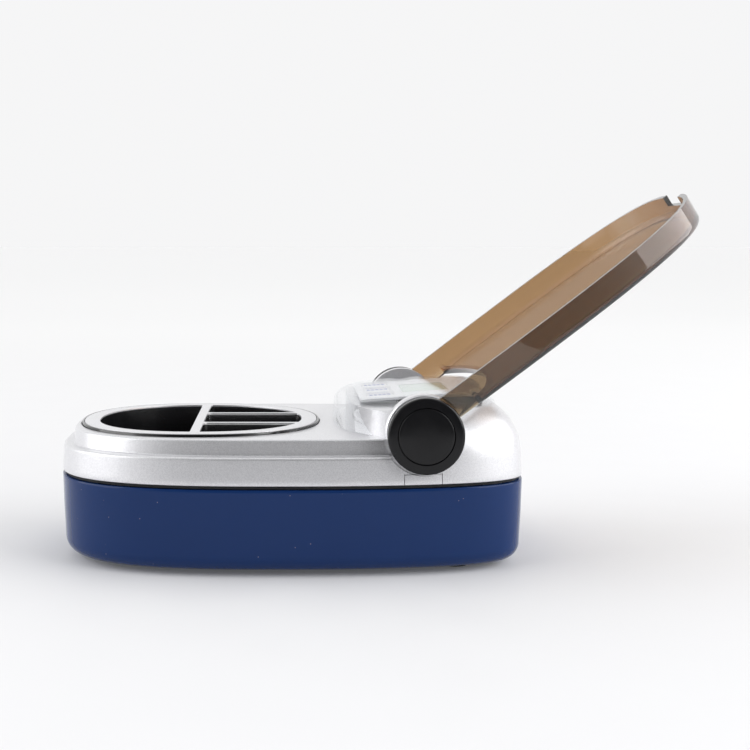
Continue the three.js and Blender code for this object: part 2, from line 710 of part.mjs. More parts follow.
function hingeCap(side) {
  const rim = hingeRound(side, CAP_RADIUS, CAP_SIDE[0], CAP_SIDE[1] - CAP_BEVEL);
  const crownRim = hingeRound(side, CAP_RADIUS - CAP_BEVEL, CAP_SIDE[0] + CAP_BEVEL, CAP_SIDE[1]);
  const stem = hingeRound(side, CAP_STEM_RADIUS, HINGE_SIDE + 3, CAP_SIDE[0] + CAP_BEVEL, 24);
  const seatFloor = CAP_SIDE[1] + DISC_PROUD - DISC_THICK - GAP;
  const seat = hingeRound(side, DISC_RADIUS + GAP, seatFloor, FAR_OUT);
  const bore = hingeRound(side, PIN_RADIUS + GAP, 40, CAP_SIDE[0] - 0.2, 24);
  return toGeometry(rim.add(crownRim).add(stem).subtract(seat).subtract(bore));
}

function capDisc(side) {
  const y = sidewise(side, CAP_SIDE[1] + DISC_PROUD - DISC_THICK, CAP_SIDE[1] + DISC_PROUD);
  return across(HINGE_X, HINGE_Z, DISC_RADIUS, y, 36);
}

// The pin goes through the cheek and the lid's hub into the cap. Its head is behind the cheek.
function hingePin(side) {
  const headEnd = HINGE_SIDE - CHEEK_THICK - GAP - 0.5;
  const shaft = hingeRound(side, PIN_RADIUS, headEnd - 0.2, CAP_SIDE[0] - 0.5, 20);
  const head = hingeRound(side, PIN_HEAD_RADIUS, headEnd - PIN_HEAD_THICK, headEnd, 20);
  return toGeometry(shaft.add(head));
}

// ---- Electronics --------------------------------------------------------------------

const HOLDER_WALL = 1.5;
const HOLDER_ROOM = 28;
const TIP_LENGTH = 1.2;
const TIP_RADIUS = 2.6;
const CONTACT_PLACE = 27;
const CONTACT_THICK = 0.5;
const BOARD_X = [29, 70];
const BOARD_HALF = 26;
const BUZZER_PLACE = [16, -34];
const BUZZER_RADIUS = 11;
const BUZZER_TOP = 14;

function batteryHolder() {
  const x = [CELL_X[0] - 9, CELL_X[1] + 9];
  const top = CELL_HEIGHT + CELL_RADIUS + 1.8;
  const half = HOLDER_ROOM + HOLDER_WALL;
  const block = toSolid(box(x, [-half, half], [BASE_FLOOR + GAP, top]));
  const roomX = [x[0] + HOLDER_WALL, x[1] - HOLDER_WALL];
  const room = box(roomX, [-HOLDER_ROOM, HOLDER_ROOM], [BASE_FLOOR - 1, top - HOLDER_WALL]);
  return toGeometry(block.subtract(toSolid(room)));
}

// The two cells lie head to tail.
function cell(index) {
  const side = index === 0 ? 1 : -1;
  const x = CELL_X[index];
  const end = CELL_LENGTH / 2;
  const body = toSolid(across(x, CELL_HEIGHT, CELL_RADIUS, sidewise(side, -end, end - TIP_LENGTH), 24));
  const tip = toSolid(across(x, CELL_HEIGHT, TIP_RADIUS, sidewise(side, end - TIP_LENGTH - 1, end), 16));
  return toGeometry(body.add(tip));
}

function contact(side) {
  const y = sidewise(side, CONTACT_PLACE, CONTACT_PLACE + CONTACT_THICK);
  return box([CELL_X[0] - 6, CELL_X[1] + 6], y, [BASE_FLOOR + 1.5, CELL_HEIGHT + 6]);
}

function controlBoard() {
  return box(BOARD_X, [-BOARD_HALF, BOARD_HALF], BOARD_Z);
}

function buzzer() {
  return upright(...BUZZER_PLACE, BUZZER_RADIUS, [BASE_FLOOR + GAP, BUZZER_TOP], 28);
}

// ---- Assembly -----------------------------------------------------------------------

const station = new THREE.Group();

function addPiece(parent, name, geometry, surface) {
  const mesh = new THREE.Mesh(geometry, surface);
  mesh.name = name;
  parent.add(mesh);
}

addPiece(station, "base_shell", baseShell(), BLUE);
addPiece(station, "battery_door", batteryDoor(), BLUE);
addPiece(station, "seam_gasket", seamGasket(), RUBBER);
addPiece(station, "top_shell", topShell(), SILVER);
addPiece(station, "tray_tub", trayTub(), BLACK);
addPiece(station, "tray_trim", trayTrim(), SILVER);
addPiece(station, "console_wedge", consoleWedge(), DARK);
addPiece(station, "console_panel", consolePanel(), PANEL);
addPiece(station, "lcd_glass", lcdGlass(), SCREEN);
addPiece(station, "lcd_module", lcdModule(), DARK);
addPiece(station, "console_lens", consoleLens(), CLEAR);
addPiece(station, "control_board", controlBoard(), BOARD);
addPiece(station, "buzzer", buzzer(), DARK);
addPiece(station, "battery_holder", batteryHolder(), DARK);
for (let key = 0; key < 3; key += 1) addPiece(station, `console_key_${key + 1}`, consoleKey(key), KEY);
for (let i = 0; i < 2; i += 1) addPiece(station, `battery_${i + 1}`, cell(i), CELL);
FEET.forEach(([x, y], i) => addPiece(station, `foot_${i + 1}`, foot(x, y), RUBBER));
POSTS.forEach(([x, y], i) => addPiece(station, `screw_${i + 1}`, screw(x, y), STEEL));

for (const [word, side] of [["near", -1], ["far", 1]]) {
  addPiece(station, `battery_contact_${word}`, contact(side), STEEL);
  addPiece(station, `hinge_cap_${word}`, hingeCap(side), BLACK);
  addPiece(station, `cap_disc_${word}`, capDisc(side), BLACK);
  addPiece(station, `hinge_pin_${word}`, hingePin(side), STEEL);
  addPiece(station, `hinge_insert_${word}`, hingeInsert(side), SILVER);
}

const lidHinge = new THREE.Group();
lidHinge.position.set(HINGE_X, 0, HINGE_Z);
lidHinge.rotation.y = LID_OPEN;
addPiece(lidHinge, "lid", lid(), SMOKE);
station.add(lidHinge);

// The origin is at the bottom centre of the whole object with its lid open.
station.updateMatrixWorld(true);
const bounds = new THREE.Box3().setFromObject(station, true);
station.position.x = -(bounds.min.x + bounds.max.x) / 2;

export default station;
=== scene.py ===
"""Tabletop pill station with a divided tray, a raised console and a smoke-brown lid.

Shapes are worked out in millimetres in the body's own frame, whose origin is the middle of the
body's outline on the table. Each finished piece is then moved into the CAD frame, in metres.
"""

import json
import math

import bmesh
import bpy
from mathutils import Matrix, Vector


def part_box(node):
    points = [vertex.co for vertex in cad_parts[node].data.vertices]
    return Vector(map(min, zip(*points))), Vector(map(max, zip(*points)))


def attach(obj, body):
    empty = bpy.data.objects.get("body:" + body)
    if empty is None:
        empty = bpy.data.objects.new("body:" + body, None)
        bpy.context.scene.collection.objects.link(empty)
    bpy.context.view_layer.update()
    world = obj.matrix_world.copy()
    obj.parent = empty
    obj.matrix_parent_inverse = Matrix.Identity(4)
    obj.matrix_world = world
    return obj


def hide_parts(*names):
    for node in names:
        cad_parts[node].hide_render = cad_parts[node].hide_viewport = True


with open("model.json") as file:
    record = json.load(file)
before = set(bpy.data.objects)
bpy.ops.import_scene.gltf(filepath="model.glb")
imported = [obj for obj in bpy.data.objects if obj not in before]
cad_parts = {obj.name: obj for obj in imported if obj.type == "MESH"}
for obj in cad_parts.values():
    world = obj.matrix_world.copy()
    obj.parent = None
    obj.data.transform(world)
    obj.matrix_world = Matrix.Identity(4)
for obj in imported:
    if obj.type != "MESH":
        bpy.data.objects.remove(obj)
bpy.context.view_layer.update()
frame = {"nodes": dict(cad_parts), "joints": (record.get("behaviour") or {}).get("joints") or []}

# ---- Sizes, in millimetres ----------------------------------------------------------------

MM = 0.001
GAP = 0.3
WALL = 2.2
STEPS = 240  # points round a plan outline
OUTSIDE = 70  # a distance from the middle plane that lies clear of every piece
SIDES = ((-1, "near"), (1, "far"))


def cad_box(node):
    """Lowest and highest corner of a CAD node, in millimetres."""
    low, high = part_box(node)
    return low / MM, high / MM


SHELL_LOW, SHELL_HIGH = cad_box("top_shell")
MIDDLE = (SHELL_LOW.x + SHELL_HIGH.x) / 2  # the body's middle along the CAD frame's x
HALF_LENGTH = (SHELL_HIGH.x - SHELL_LOW.x) / 2
HALF_WIDTH = SHELL_HIGH.y
FRONT_POWER = 2.95
REAR_POWER = 6.8
REAR_TAPER = 0.19

BASE_BOTTOM = cad_box("base_shell")[0].z
BASE_TOP = cad_box("base_shell")[1].z
BASE_FLOOR = BASE_BOTTOM + 3
BASE_FILLET = 6
POSTS = ((-64, 39.5), (-64, -39.5), (77, 37), (77, -37))
POST_RADIUS = 3.6
POST_JOIN = 24  # height at which the two shells' posts meet
POST_BORE = 1.8
SCREW_BORE = 1.7
SCREW_HEAD = 2.8
SCREW_SEAT = 12  # height of the ledge that a screw's head rests on
DOOR_X = (29, 63)
DOOR_HALF = 26
DOOR_TONGUE = 28
DOOR_TRAVEL = 12
FEET = ((-58, 26), (-58, -26), (63, 34.5), (63, -34.5))
FOOT_RADIUS = 5

TOP_BOTTOM = cad_box("hinge_insert_near")[0].z
RIM_RISE = 0.95
DECK = cad_box("tray_tub")[1].z - RIM_RISE
LEDGE = DECK - 6  # the step that the shut lid's walls stand over
HEAD_TOP = DECK + 9.8

HEAD_CENTRE = 47
HEAD_FRONT = 23.5  # from the centre to the head's front
HEAD_HALF = 49
ROUNDING_START = 42.7
ROUNDING_HEIGHT = 18.5
ROUNDING_REACH = 15.5
INSERT_X = (41.9, 56.2)  # the cover strip below each hinge cap
INSERT_TOP = 38
INSERT_GAP = 0.22

CONSOLE_TILT = math.radians(4)
PANEL_X = (27.5, 74)
PANEL_HALF = 28
PANEL_FRONT_HEIGHT = 62.1
PANEL_THICK = 0.9
LENS_THICK = 0.6
LENS_CENTRE = 50.3
LENS_REACH = 32.5
LENS_HALF = 47.5
LENS_SLOPE = 5  # how far the cover's sides lean in up to its shoulder
SCREEN_X = (45, 63)
SCREEN_HALF = 13
KEY_X = (30.4, 40.8)
KEY_HALF = 2.6
KEY_PITCH = 17
KEY_TOP = 0.1  # above the panel

TRAY_CENTRE = -35.6
TRAY_REACH = 47.6
TRAY_HALF = cad_box("tray_tub")[1].y
TRAY_POWER = 2.25
TRAY_BOTTOM = cad_box("tray_tub")[0].z
RIM_WIDTH = 7
BORDER = 0.8
FLANGE_DEPTH = 0.9
CELL_DRAFT = 2
CELL_CORNER = 2.6
CROSSBAR = (-37.5, -34)
DIVIDER = (13.3, 15.4)

JOINTS = {joint["name"]: joint for joint in frame["joints"]}
HINGE_X = JOINTS["lid_hinge"]["pos_m"][0] / MM - MIDDLE
HINGE_Z = JOINTS["lid_hinge"]["pos_m"][2] / MM
LID_OPEN = math.radians(JOINTS["lid_hinge"]["range_deg"][1])
HINGE_SIDE = 51.3  # from the middle plane to the cheeks' outer faces
CHEEK_RADIUS = 14.4
CHEEK_THICK = 5
CAP_RADIUS = 14.1
CAP_THICK = 3.2
POCKET_RADIUS = 15.2
POCKET_FLOOR = 54.2
CAP_OUTSIDE = cad_box("hinge_cap_far")[1].y
CAP_INSIDE = CAP_OUTSIDE - CAP_THICK
CAP_BOSS_RADIUS = 5.5
DISC_RADIUS = 10.3
HUB_RADIUS = 7.5
PIN_RADIUS = 2.2
AXIS = 0.01  # the smallest radius of a lathed profile

LID_INSET = 1.6  # a little more than the CAD's, whose outline is coarser
LID_INNER = LID_INSET + 1.8  # inset of the inside of its walls
LID_BOTTOM = 44.85
LID_TOP = 55.4
LID_PLATE = 1.4
LIP_DEPTH = 1.2
LIP_WIDTH = 1.8
LID_CROWN = 3
LID_PLATE_END = 16.4
LID_END_RADIUS = 137  # of the plate's curved end, seen from above
NOTCH_HALF = 10
NOTCH_HEIGHT = 4

# ---- Meshes -------------------------------------------------------------------------------


def new_object(name, points, faces):
    mesh = bpy.data.meshes.new(name)
    mesh.from_pydata([tuple(p) for p in points], [], faces)
    mesh.update()
    obj = bpy.data.objects.new(name, mesh)
    bpy.context.scene.collection.objects.link(obj)
    return obj


def loft(rings):
    """A closed solid through closed rings of equal length, listed from the bottom up."""
    count = len(rings[0])
    points = [p for ring in rings for p in ring]
    faces = [tuple(reversed(range(count)))]
    for r in range(len(rings) - 1):
        for i in range(count):
            a = r * count + i
            b = r * count + (i + 1) % count
            faces.append((a, b, b + count, a + count))
    top = (len(rings) - 1) * count
    faces.append(tuple(range(top, top + count)))
    return new_object("loft", points, faces)


def lathe(profile, side, steps):
    """A solid turned round the hinge line, on one side of the middle plane. The profile holds
    pairs of distance from that plane and radius."""
    rings = []
    for y, radius in profile:
        ring = []
        for i in range(steps):
            turn = 2 * math.pi * i / steps
            x = HINGE_X + radius * math.cos(turn)
            z = HINGE_Z + radius * math.sin(turn)
            ring.append(Vector((x, side * y, z)))
        rings.append(ring if side < 0 else list(reversed(ring)))
    return loft(rings)


def block(x, y, z):
    corners = [(x[0], y[0]), (x[1], y[0]), (x[1], y[1]), (x[0], y[1])]
    return loft([[Vector((a, b, height)) for a, b in corners] for height in z])


def sloped_block(x, half, bottom, above):
    """Everything under the console's sloping plane, between two x positions."""
    corners = [(x[0], -half), (x[1], -half), (x[1], half), (x[0], half)]
    low = [Vector((a, b, bottom)) for a, b in corners]
    high = [Vector((a, b, console_height(a, above))) for a, b in corners]
    return loft([low, high])


def upright(x, y, radius, z, steps=48):
    rings = []
    for height in z:
        turns = [2 * math.pi * i / steps for i in range(steps)]
        rings.append([Vector((x + radius * math.cos(t), y + radius * math.sin(t), height)) for t in turns])
    return loft(rings)


def across(radius, y, steps=128):
    """A cylinder on the hinge line between two y positions."""
    low, high = sorted(y)
    return lathe([(-high, radius), (-low, radius)], -1, steps)


def combine(target, tool, operation):
    """Joins, cuts or intersects two solids, and removes the tool."""
    modifier = target.modifiers.new("combine", "BOOLEAN")
    modifier.operation = operation
    modifier.solver = "MANIFOLD"
    modifier.object = tool
    graph = bpy.context.evaluated_depsgraph_get()
    result = bpy.data.meshes.new_from_object(target.evaluated_get(graph))
    target.modifiers.clear()
    old = [target.data, tool.data]
    target.data = result
    bpy.data.objects.remove(tool)
    for mesh in old:
        bpy.data.meshes.remove(mesh)
    return target


def join(target, *tools):
    for tool in tools:
        combine(target, tool, "UNION")
    return target


def cut(target, *tools):
    for tool in tools:
        combine(target, tool, "DIFFERENCE")
    return target


def keep_inside(target, tool):
    return combine(target, tool, "INTERSECT")


# ---- Plan outlines ------------------------------------------------------------------------


def reach(angle, power):
    """Reach of a superellipse of unit size in the direction of an angle."""
    return (abs(math.cos(angle)) ** power + abs(math.sin(angle)) ** power) ** (-1 / power)


def superellipse(centre, along, half, power, steps=STEPS):
    loop = []
    for i in range(steps):
        angle = 2 * math.pi * i / steps
        r = reach(angle, power)
        loop.append((centre + along * r * math.cos(angle), half * r * math.sin(angle)))
    return loop


def inset(loop, distance):
    """Moves every point of a smooth closed loop inwards by the same distance."""
    moved = []
    for i, (x, y) in enumerate(loop):
        before = loop[i - 1]
        after = loop[(i + 1) % len(loop)]
        dx = after[0] - before[0]
        dy = after[1] - before[1]
        length = math.hypot(dx, dy)
        moved.append((x - dy / length * distance, y + dx / length * distance))
    return moved


def body_loop():
    loop = []
    for i in range(STEPS):
        angle = 2 * math.pi * i / STEPS
        front = math.cos(angle) < 0
        r = reach(angle, FRONT_POWER if front else REAR_POWER)
        along = r * math.cos(angle)
        taper = 1 if front else 1 - REAR_TAPER * along**2
        loop.append((HALF_LENGTH * along, HALF_WIDTH * r * math.sin(angle) * taper))
    return loop


BODY_LOOP = body_loop()


def at_height(loop, z):
    return [Vector((x, y, z)) for x, y in loop]


def stack(loop, levels):
    """A solid from pairs of height and inset of one outline."""
    return loft([at_height(inset(loop, distance), z) for z, distance in levels])


def body_solid(levels):
    return stack(BODY_LOOP, levels)


def quarter(start, end, steps, convex_first=True):
    """Points of height and inset on a quarter of an ellipse between two levels."""
    (z0, i0), (z1, i1) = start, end
    points = []
    for step in range(steps + 1):
        turn = math.pi / 2 * step / steps
        if convex_first:
            points.append((z0 + (z1 - z0) * math.sin(turn), i0 + (i1 - i0) * (1 - math.cos(turn))))
        else:
            points.append((z0 + (z1 - z0) * (1 - math.cos(turn)), i0 + (i1 - i0) * math.sin(turn)))
    return points


def console_height(x, above):
    return PANEL_FRONT_HEIGHT + (x - PANEL_X[0]) * math.tan(CONSOLE_TILT) + above


# ---- Finishing a piece --------------------------------------------------------------------


def smooth(obj, sharp_degrees):
    for polygon in obj.data.polygons:
        polygon.use_smooth = True
    obj.data.set_sharp_from_angle(angle=math.radians(sharp_degrees))


def remove_slivers(mesh, tolerance=0.002):
    """Merges points that all but touch, and drops the flaps that this leaves."""
    work = bmesh.new()
    work.from_mesh(mesh)
    bmesh.ops.triangulate(work, faces=work.faces)
    bmesh.ops.remove_doubles(work, verts=work.verts, dist=tolerance)
    bmesh.ops.dissolve_degenerate(work, edges=work.edges, dist=tolerance)
    for _ in range(3):
        flaps = [face for face in work.faces if any(edge.is_boundary for edge in face.edges)]
        flaps = [face for face in flaps if face.calc_area() < 0.05]
        bmesh.ops.delete(work, geom=flaps, context="FACES")
    work.to_mesh(mesh)
    work.free()


def open_up(obj):
    """Turns a lid that was built shut to its rest position."""
    hinge = Vector((HINGE_X, 0, HINGE_Z))
    turn = Matrix.Rotation(LID_OPEN, 4, "Y")
    obj.data.transform(Matrix.Translation(hinge) @ turn @ Matrix.Translation(-hinge))


def finish_piece(obj, name, body, slot, replaced, sharp_degrees=32, surface=None):
    """Moves a solid into the CAD frame, gives it its surface and ties it to its body."""
    remove_slivers(obj.data)
    obj.data.transform(Matrix.Scale(MM, 4) @ Matrix.Translation(Vector((MIDDLE, 0, 0))))
    obj.name = name
    obj.data.name = name
    obj.data.materials.clear()
    obj.data.materials.append(SURFACES[surface or slot])
    smooth(obj, sharp_degrees)
    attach(obj, body)
    if replaced:
        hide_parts(*replaced)
    return obj


# ---- Materials ----------------------------------------------------------------------------


class Surface:
    """A Principled material with small helpers for its procedural detail."""

    def __init__(self, name):
        self.material = bpy.data.materials.new(name)
        self.material.use_nodes = True
        self.tree = self.material.node_tree
        self.shader = self.tree.nodes["Principled BSDF"]
        self.place = self.tree.nodes.new("ShaderNodeTexCoord").outputs["Object"]

    def set(self, **values):
        for key, value in values.items():
            self.shader.inputs[key.replace("_", " ")].default_value = value

    def node(self, kind, inputs, **settings):
        node = self.tree.nodes.new(kind)
        for key, value in settings.items():
            setattr(node, key, value)
        for key, value in inputs.items():
            if isinstance(value, bpy.types.NodeSocket):
                self.tree.links.new(value, node.inputs[key])
            else:
                node.inputs[key].default_value = value
        return node

    def stretched(self, x, y, z):
        """The piece's own coordinates, scaled along each axis."""
        return self.node("ShaderNodeMapping", {"Vector": self.place, "Scale": (x, y, z)}).outputs["Vector"]

    def noise(self, scale, detail=3, place=None):
        inputs = {"Vector": place or self.place, "Scale": scale, "Detail": detail}
        return self.node("ShaderNodeTexNoise", inputs).outputs["Fac"]

    def cells(self, scale, output="Distance"):
        return self.node("ShaderNodeTexVoronoi", {"Vector": self.place, "Scale": scale}).outputs[output]

    def spread(self, value, low, high, start=0.3, end=0.7):
        """A value mapped from start..end to low..high."""
        inputs = {"Value": value, "From Min": start, "From Max": end, "To Min": low, "To Max": high}
        return self.node("ShaderNodeMapRange", inputs).outputs["Result"]

    def mix(self, factor, first, second):
        node = self.node("ShaderNodeMix", {}, data_type="RGBA")
        for socket, value in ((node.inputs[0], factor), (node.inputs[6], first), (node.inputs[7], second)):
            if isinstance(value, bpy.types.NodeSocket):
                self.tree.links.new(value, socket)
            else:
                socket.default_value = value
        return node.outputs[2]

    def product(self, first, second):
        return self.node("ShaderNodeMath", {0: first, 1: second}, operation="MULTIPLY").outputs[0]

    def drive(self, socket, value):
        self.tree.links.new(value, self.shader.inputs[socket])

    def colour(self, value):
        self.drive("Base Color", value)

    def roughness(self, value):
        self.drive("Roughness", value)

    def bump(self, *layers):
        """Layers are pairs of height value and depth in millimetres."""
        normal = None
        for height, depth in layers:
            inputs = {"Height": height, "Distance": depth * MM, "Strength": 1.0}
            if normal is not None:
                inputs["Normal"] = normal
            normal = self.node("ShaderNodeBump", inputs).outputs["Normal"]
        self.drive("Normal", normal)


def rgb(red, green, blue):
    return (red, green, blue, 1.0)


def blue_plastic():
    """Glossy navy moulding with sparse dust specks and a faint orange peel."""
    s = Surface("blue_plastic")
    s.set(IOR=1.5, Specular_IOR_Level=0.19)
    tone = s.mix(s.noise(40), rgb(0.007, 0.028, 0.112), rgb(0.009, 0.033, 0.128))
    speck = s.spread(s.cells(380), 1, 0, 0.04, 0.075)
    chosen = s.spread(s.noise(120, 2), 0, 1, 0.58, 0.62)
    s.colour(s.mix(s.product(speck, chosen), tone, rgb(0.30, 0.26, 0.30)))
    s.roughness(s.spread(s.noise(300), 0.1, 0.17))
    s.bump((s.noise(220), 0.015), (s.noise(3000, 1), 0.0012))
    return s.material


def silver_plastic():
    """Silver paint with fine metal flake."""
    s = Surface("silver_plastic")
    s.set(Metallic=0.55, Coat_Weight=0.25, Coat_Roughness=0.12)
    flake = s.node("ShaderNodeSeparateColor", {"Color": s.cells(5200, "Color")}).outputs["Red"]
    s.colour(s.mix(s.spread(flake, 0, 1, 0, 1), rgb(0.62, 0.62, 0.64), rgb(0.80, 0.80, 0.82)))
    s.roughness(s.spread(s.noise(900), 0.28, 0.36))
    s.bump((flake, 0.0028), (s.noise(160), 0.01))
    return s.material


def black_gloss(name, shine):
    """Polished black moulding with a little dust."""
    s = Surface(name)
    s.set(IOR=1.5, Specular_IOR_Level=shine)
    dust = s.spread(s.cells(700), 1, 0, 0.03, 0.06)
    chosen = s.spread(s.noise(150, 2), 0, 1, 0.6, 0.64)
    tone = s.mix(s.noise(60), rgb(0.007, 0.007, 0.008), rgb(0.012, 0.012, 0.013))
    s.colour(s.mix(s.product(dust, chosen), tone, rgb(0.16, 0.16, 0.17)))
    s.roughness(s.spread(s.noise(240), 0.09, 0.16))
    s.bump((s.noise(260), 0.006), (s.noise(4000, 1), 0.0006))
    return s.material


def smoke_plastic():
    """Clear brown moulding with a slight haze. Its tint deepens with the thickness that light crosses.
    Along the near wall its colour is a mid grey, which is painted shade."""
    s = Surface("smoke_plastic")
    s.set(IOR=1.5)
    cloud = s.mix(s.noise(30), rgb(0.93, 0.92, 0.91), rgb(1, 1, 1))
    y = s.node("ShaderNodeSeparateXYZ", {0: s.place}).outputs["Y"]
    aside = s.node("ShaderNodeMath", {0: y}, operation="ABSOLUTE").outputs[0]
    s.drive("Transmission Weight", s.spread(aside, 0.86, 0.93, 0.04, 0.05))
    # painted shade: the near wall's colour turns mid grey, which darkens that wall
    near = s.spread(y, 1, 0, -0.05, -0.036)
    s.colour(s.mix(near, cloud, rgb(0.5, 0.53, 0.52)))
    s.roughness(s.spread(s.noise(90), 0.0, 0.03))
    s.bump((s.noise(45), 0.02))
    absorb = s.tree.nodes.new("ShaderNodeVolumeAbsorption")
    absorb.inputs["Color"].default_value = rgb(0.67, 0.44, 0.09)
    absorb.inputs["Density"].default_value = 1200
    output = s.tree.nodes["Material Output"]
    s.tree.links.new(absorb.outputs["Volume"], output.inputs["Volume"])
    return s.material


def clear_plastic():
    """Water-clear acrylic: only its gloss shows, where it is seen at a low angle."""
    s = Surface("clear_plastic")
    s.set(Metallic=1.0)
    s.colour(s.mix(s.noise(25), rgb(0.82, 0.84, 0.86), rgb(0.9, 0.92, 0.94)))
    s.roughness(s.spread(s.noise(70), 0.03, 0.07))
    s.bump((s.noise(60), 0.02))
    facing = s.node("ShaderNodeLayerWeight", {"Blend": 0.5}).outputs["Facing"]
    gloss = s.node("ShaderNodeMath", {0: facing, 1: 5.0}, operation="POWER").outputs[0]
    s.drive("Alpha", s.spread(gloss, 0.1, 0.6, 0, 1))
    return s.material


def panel_silver():
    """Pale silver sheet, brushed along its length."""
    s = Surface("panel_silver")
    s.set(Metallic=0.1)
    grain = s.noise(60, 4, s.stretched(1.5, 60, 60))
    s.colour(s.mix(grain, rgb(0.80, 0.81, 0.84), rgb(0.92, 0.93, 0.95)))
    s.roughness(s.spread(grain, 0.3, 0.45))
    s.bump((grain, 0.004))
    return s.material


def key_plastic():
    """Satin, slightly bluish white."""
    s = Surface("key_plastic")
    s.colour(s.mix(s.noise(200), rgb(0.80, 0.81, 0.86), rgb(0.88, 0.89, 0.93)))
    s.roughness(s.spread(s.noise(500), 0.32, 0.45))
    s.bump((s.noise(2500, 1), 0.003))
    return s.material


def print_ink():
    """Blue ink of the marks on the keys."""
    s = Surface("print_ink")
    s.colour(s.mix(s.noise(900), rgb(0.10, 0.12, 0.36), rgb(0.20, 0.22, 0.52)))
    s.roughness(s.spread(s.noise(500), 0.35, 0.5))
    s.bump((s.noise(2500, 1), 0.002))
    return s.material


def display_glass():
    """Pale green liquid-crystal window with faint rows of unlit segments."""
    s = Surface("display")
    s.set(IOR=1.5)
    rows = s.node("ShaderNodeTexBrick", {"Vector": s.place, "Scale": 110.0, "Mortar Size": 0.03})
    rows.inputs["Color1"].default_value = rgb(0.50, 0.66, 0.53)
    rows.inputs["Color2"].default_value = rgb(0.52, 0.68, 0.55)
    rows.inputs["Mortar"].default_value = rgb(0.56, 0.72, 0.59)
    s.colour(s.mix(s.noise(30), rows.outputs["Color"], rgb(0.60, 0.76, 0.64)))
    s.roughness(s.spread(s.noise(200), 0.08, 0.14))
    s.bump((s.noise(80), 0.004))
    return s.material


def moulded(name, dark, light, low, high, grain, depth):
    """Plain moulded plastic or rubber in two greys, with a fine grain."""
    s = Surface(name)
    s.colour(s.mix(s.noise(grain / 6), rgb(*dark), rgb(*light)))
    s.roughness(s.spread(s.noise(grain / 2), low, high))
    s.bump((s.noise(grain, 2), depth))
    return s.material


def dark_plastic():
    return moulded("dark_plastic", (0.02, 0.02, 0.022), (0.03, 0.03, 0.032), 0.4, 0.55, 1800, 0.01)


def dark_rubber():
    return moulded("dark_rubber", (0.012, 0.012, 0.013), (0.02, 0.02, 0.021), 0.75, 0.9, 2400, 0.02)


def steel():
    s = Surface("steel")
    s.set(Metallic=1.0)
    grain = s.noise(80, 3, s.stretched(3, 60, 60))
    s.colour(s.mix(grain, rgb(0.50, 0.50, 0.51), rgb(0.66, 0.66, 0.67)))
    s.roughness(s.spread(grain, 0.2, 0.38))
    s.bump((grain, 0.004))
    return s.material


def board():
    """Green solder mask with paler tracks."""
    s = Surface("board")
    tracks = s.node("ShaderNodeTexBrick", {"Vector": s.place, "Scale": 160.0, "Mortar Size": 0.04})
    tracks.inputs["Color1"].default_value = rgb(0.010, 0.080, 0.030)
    tracks.inputs["Color2"].default_value = rgb(0.012, 0.090, 0.034)
    tracks.inputs["Mortar"].default_value = rgb(0.030, 0.160, 0.060)
    s.colour(s.mix(s.noise(60), tracks.outputs["Color"], rgb(0.015, 0.10, 0.04)))
    s.roughness(s.spread(s.noise(300), 0.3, 0.45))
    s.bump((tracks.outputs["Fac"], 0.03))
    return s.material


def battery():
    """Wrapped cell: dark sleeve with a coppery band towards one end."""
    s = Surface("battery")
    s.set(Metallic=0.5)
    y = s.node("ShaderNodeSeparateXYZ", {"Vector": s.place}).outputs["Y"]
    band = s.spread(y, 0, 1, 0.0118, 0.0122)
    tone = s.mix(s.noise(200), rgb(0.02, 0.022, 0.025), rgb(0.035, 0.037, 0.04))
    s.colour(s.mix(band, tone, rgb(0.55, 0.28, 0.12)))
    s.roughness(s.spread(s.noise(300), 0.25, 0.4))
    s.bump((s.noise(900), 0.004))
    return s.material


SURFACES = {
    "blue_plastic": blue_plastic(),
    "silver_plastic": silver_plastic(),
    "black_gloss": black_gloss("black_gloss", 0.25),
    "tray_gloss": black_gloss("tray_gloss", 0.8),
    "smoke_plastic": smoke_plastic(),
    "clear_plastic": clear_plastic(),
    "panel_silver": panel_silver(),
    "key_plastic": key_plastic(),
    "display": display_glass(),
    "dark_plastic": dark_plastic(),
    "dark_rubber": dark_rubber(),
    "steel": steel(),
    "board": board(),
    "battery": battery(),
    "print_ink": print_ink(),
}


def surface_for_cad_nodes():
    """Every CAD node takes the finished surface of its material slot."""
    for node in frame["nodes"].values():
        for slot in node.material_slots:
            name = slot.material.name.split(".")[0]
            slot.material = SURFACES[name]


# ---- Base ---------------------------------------------------------------------------------


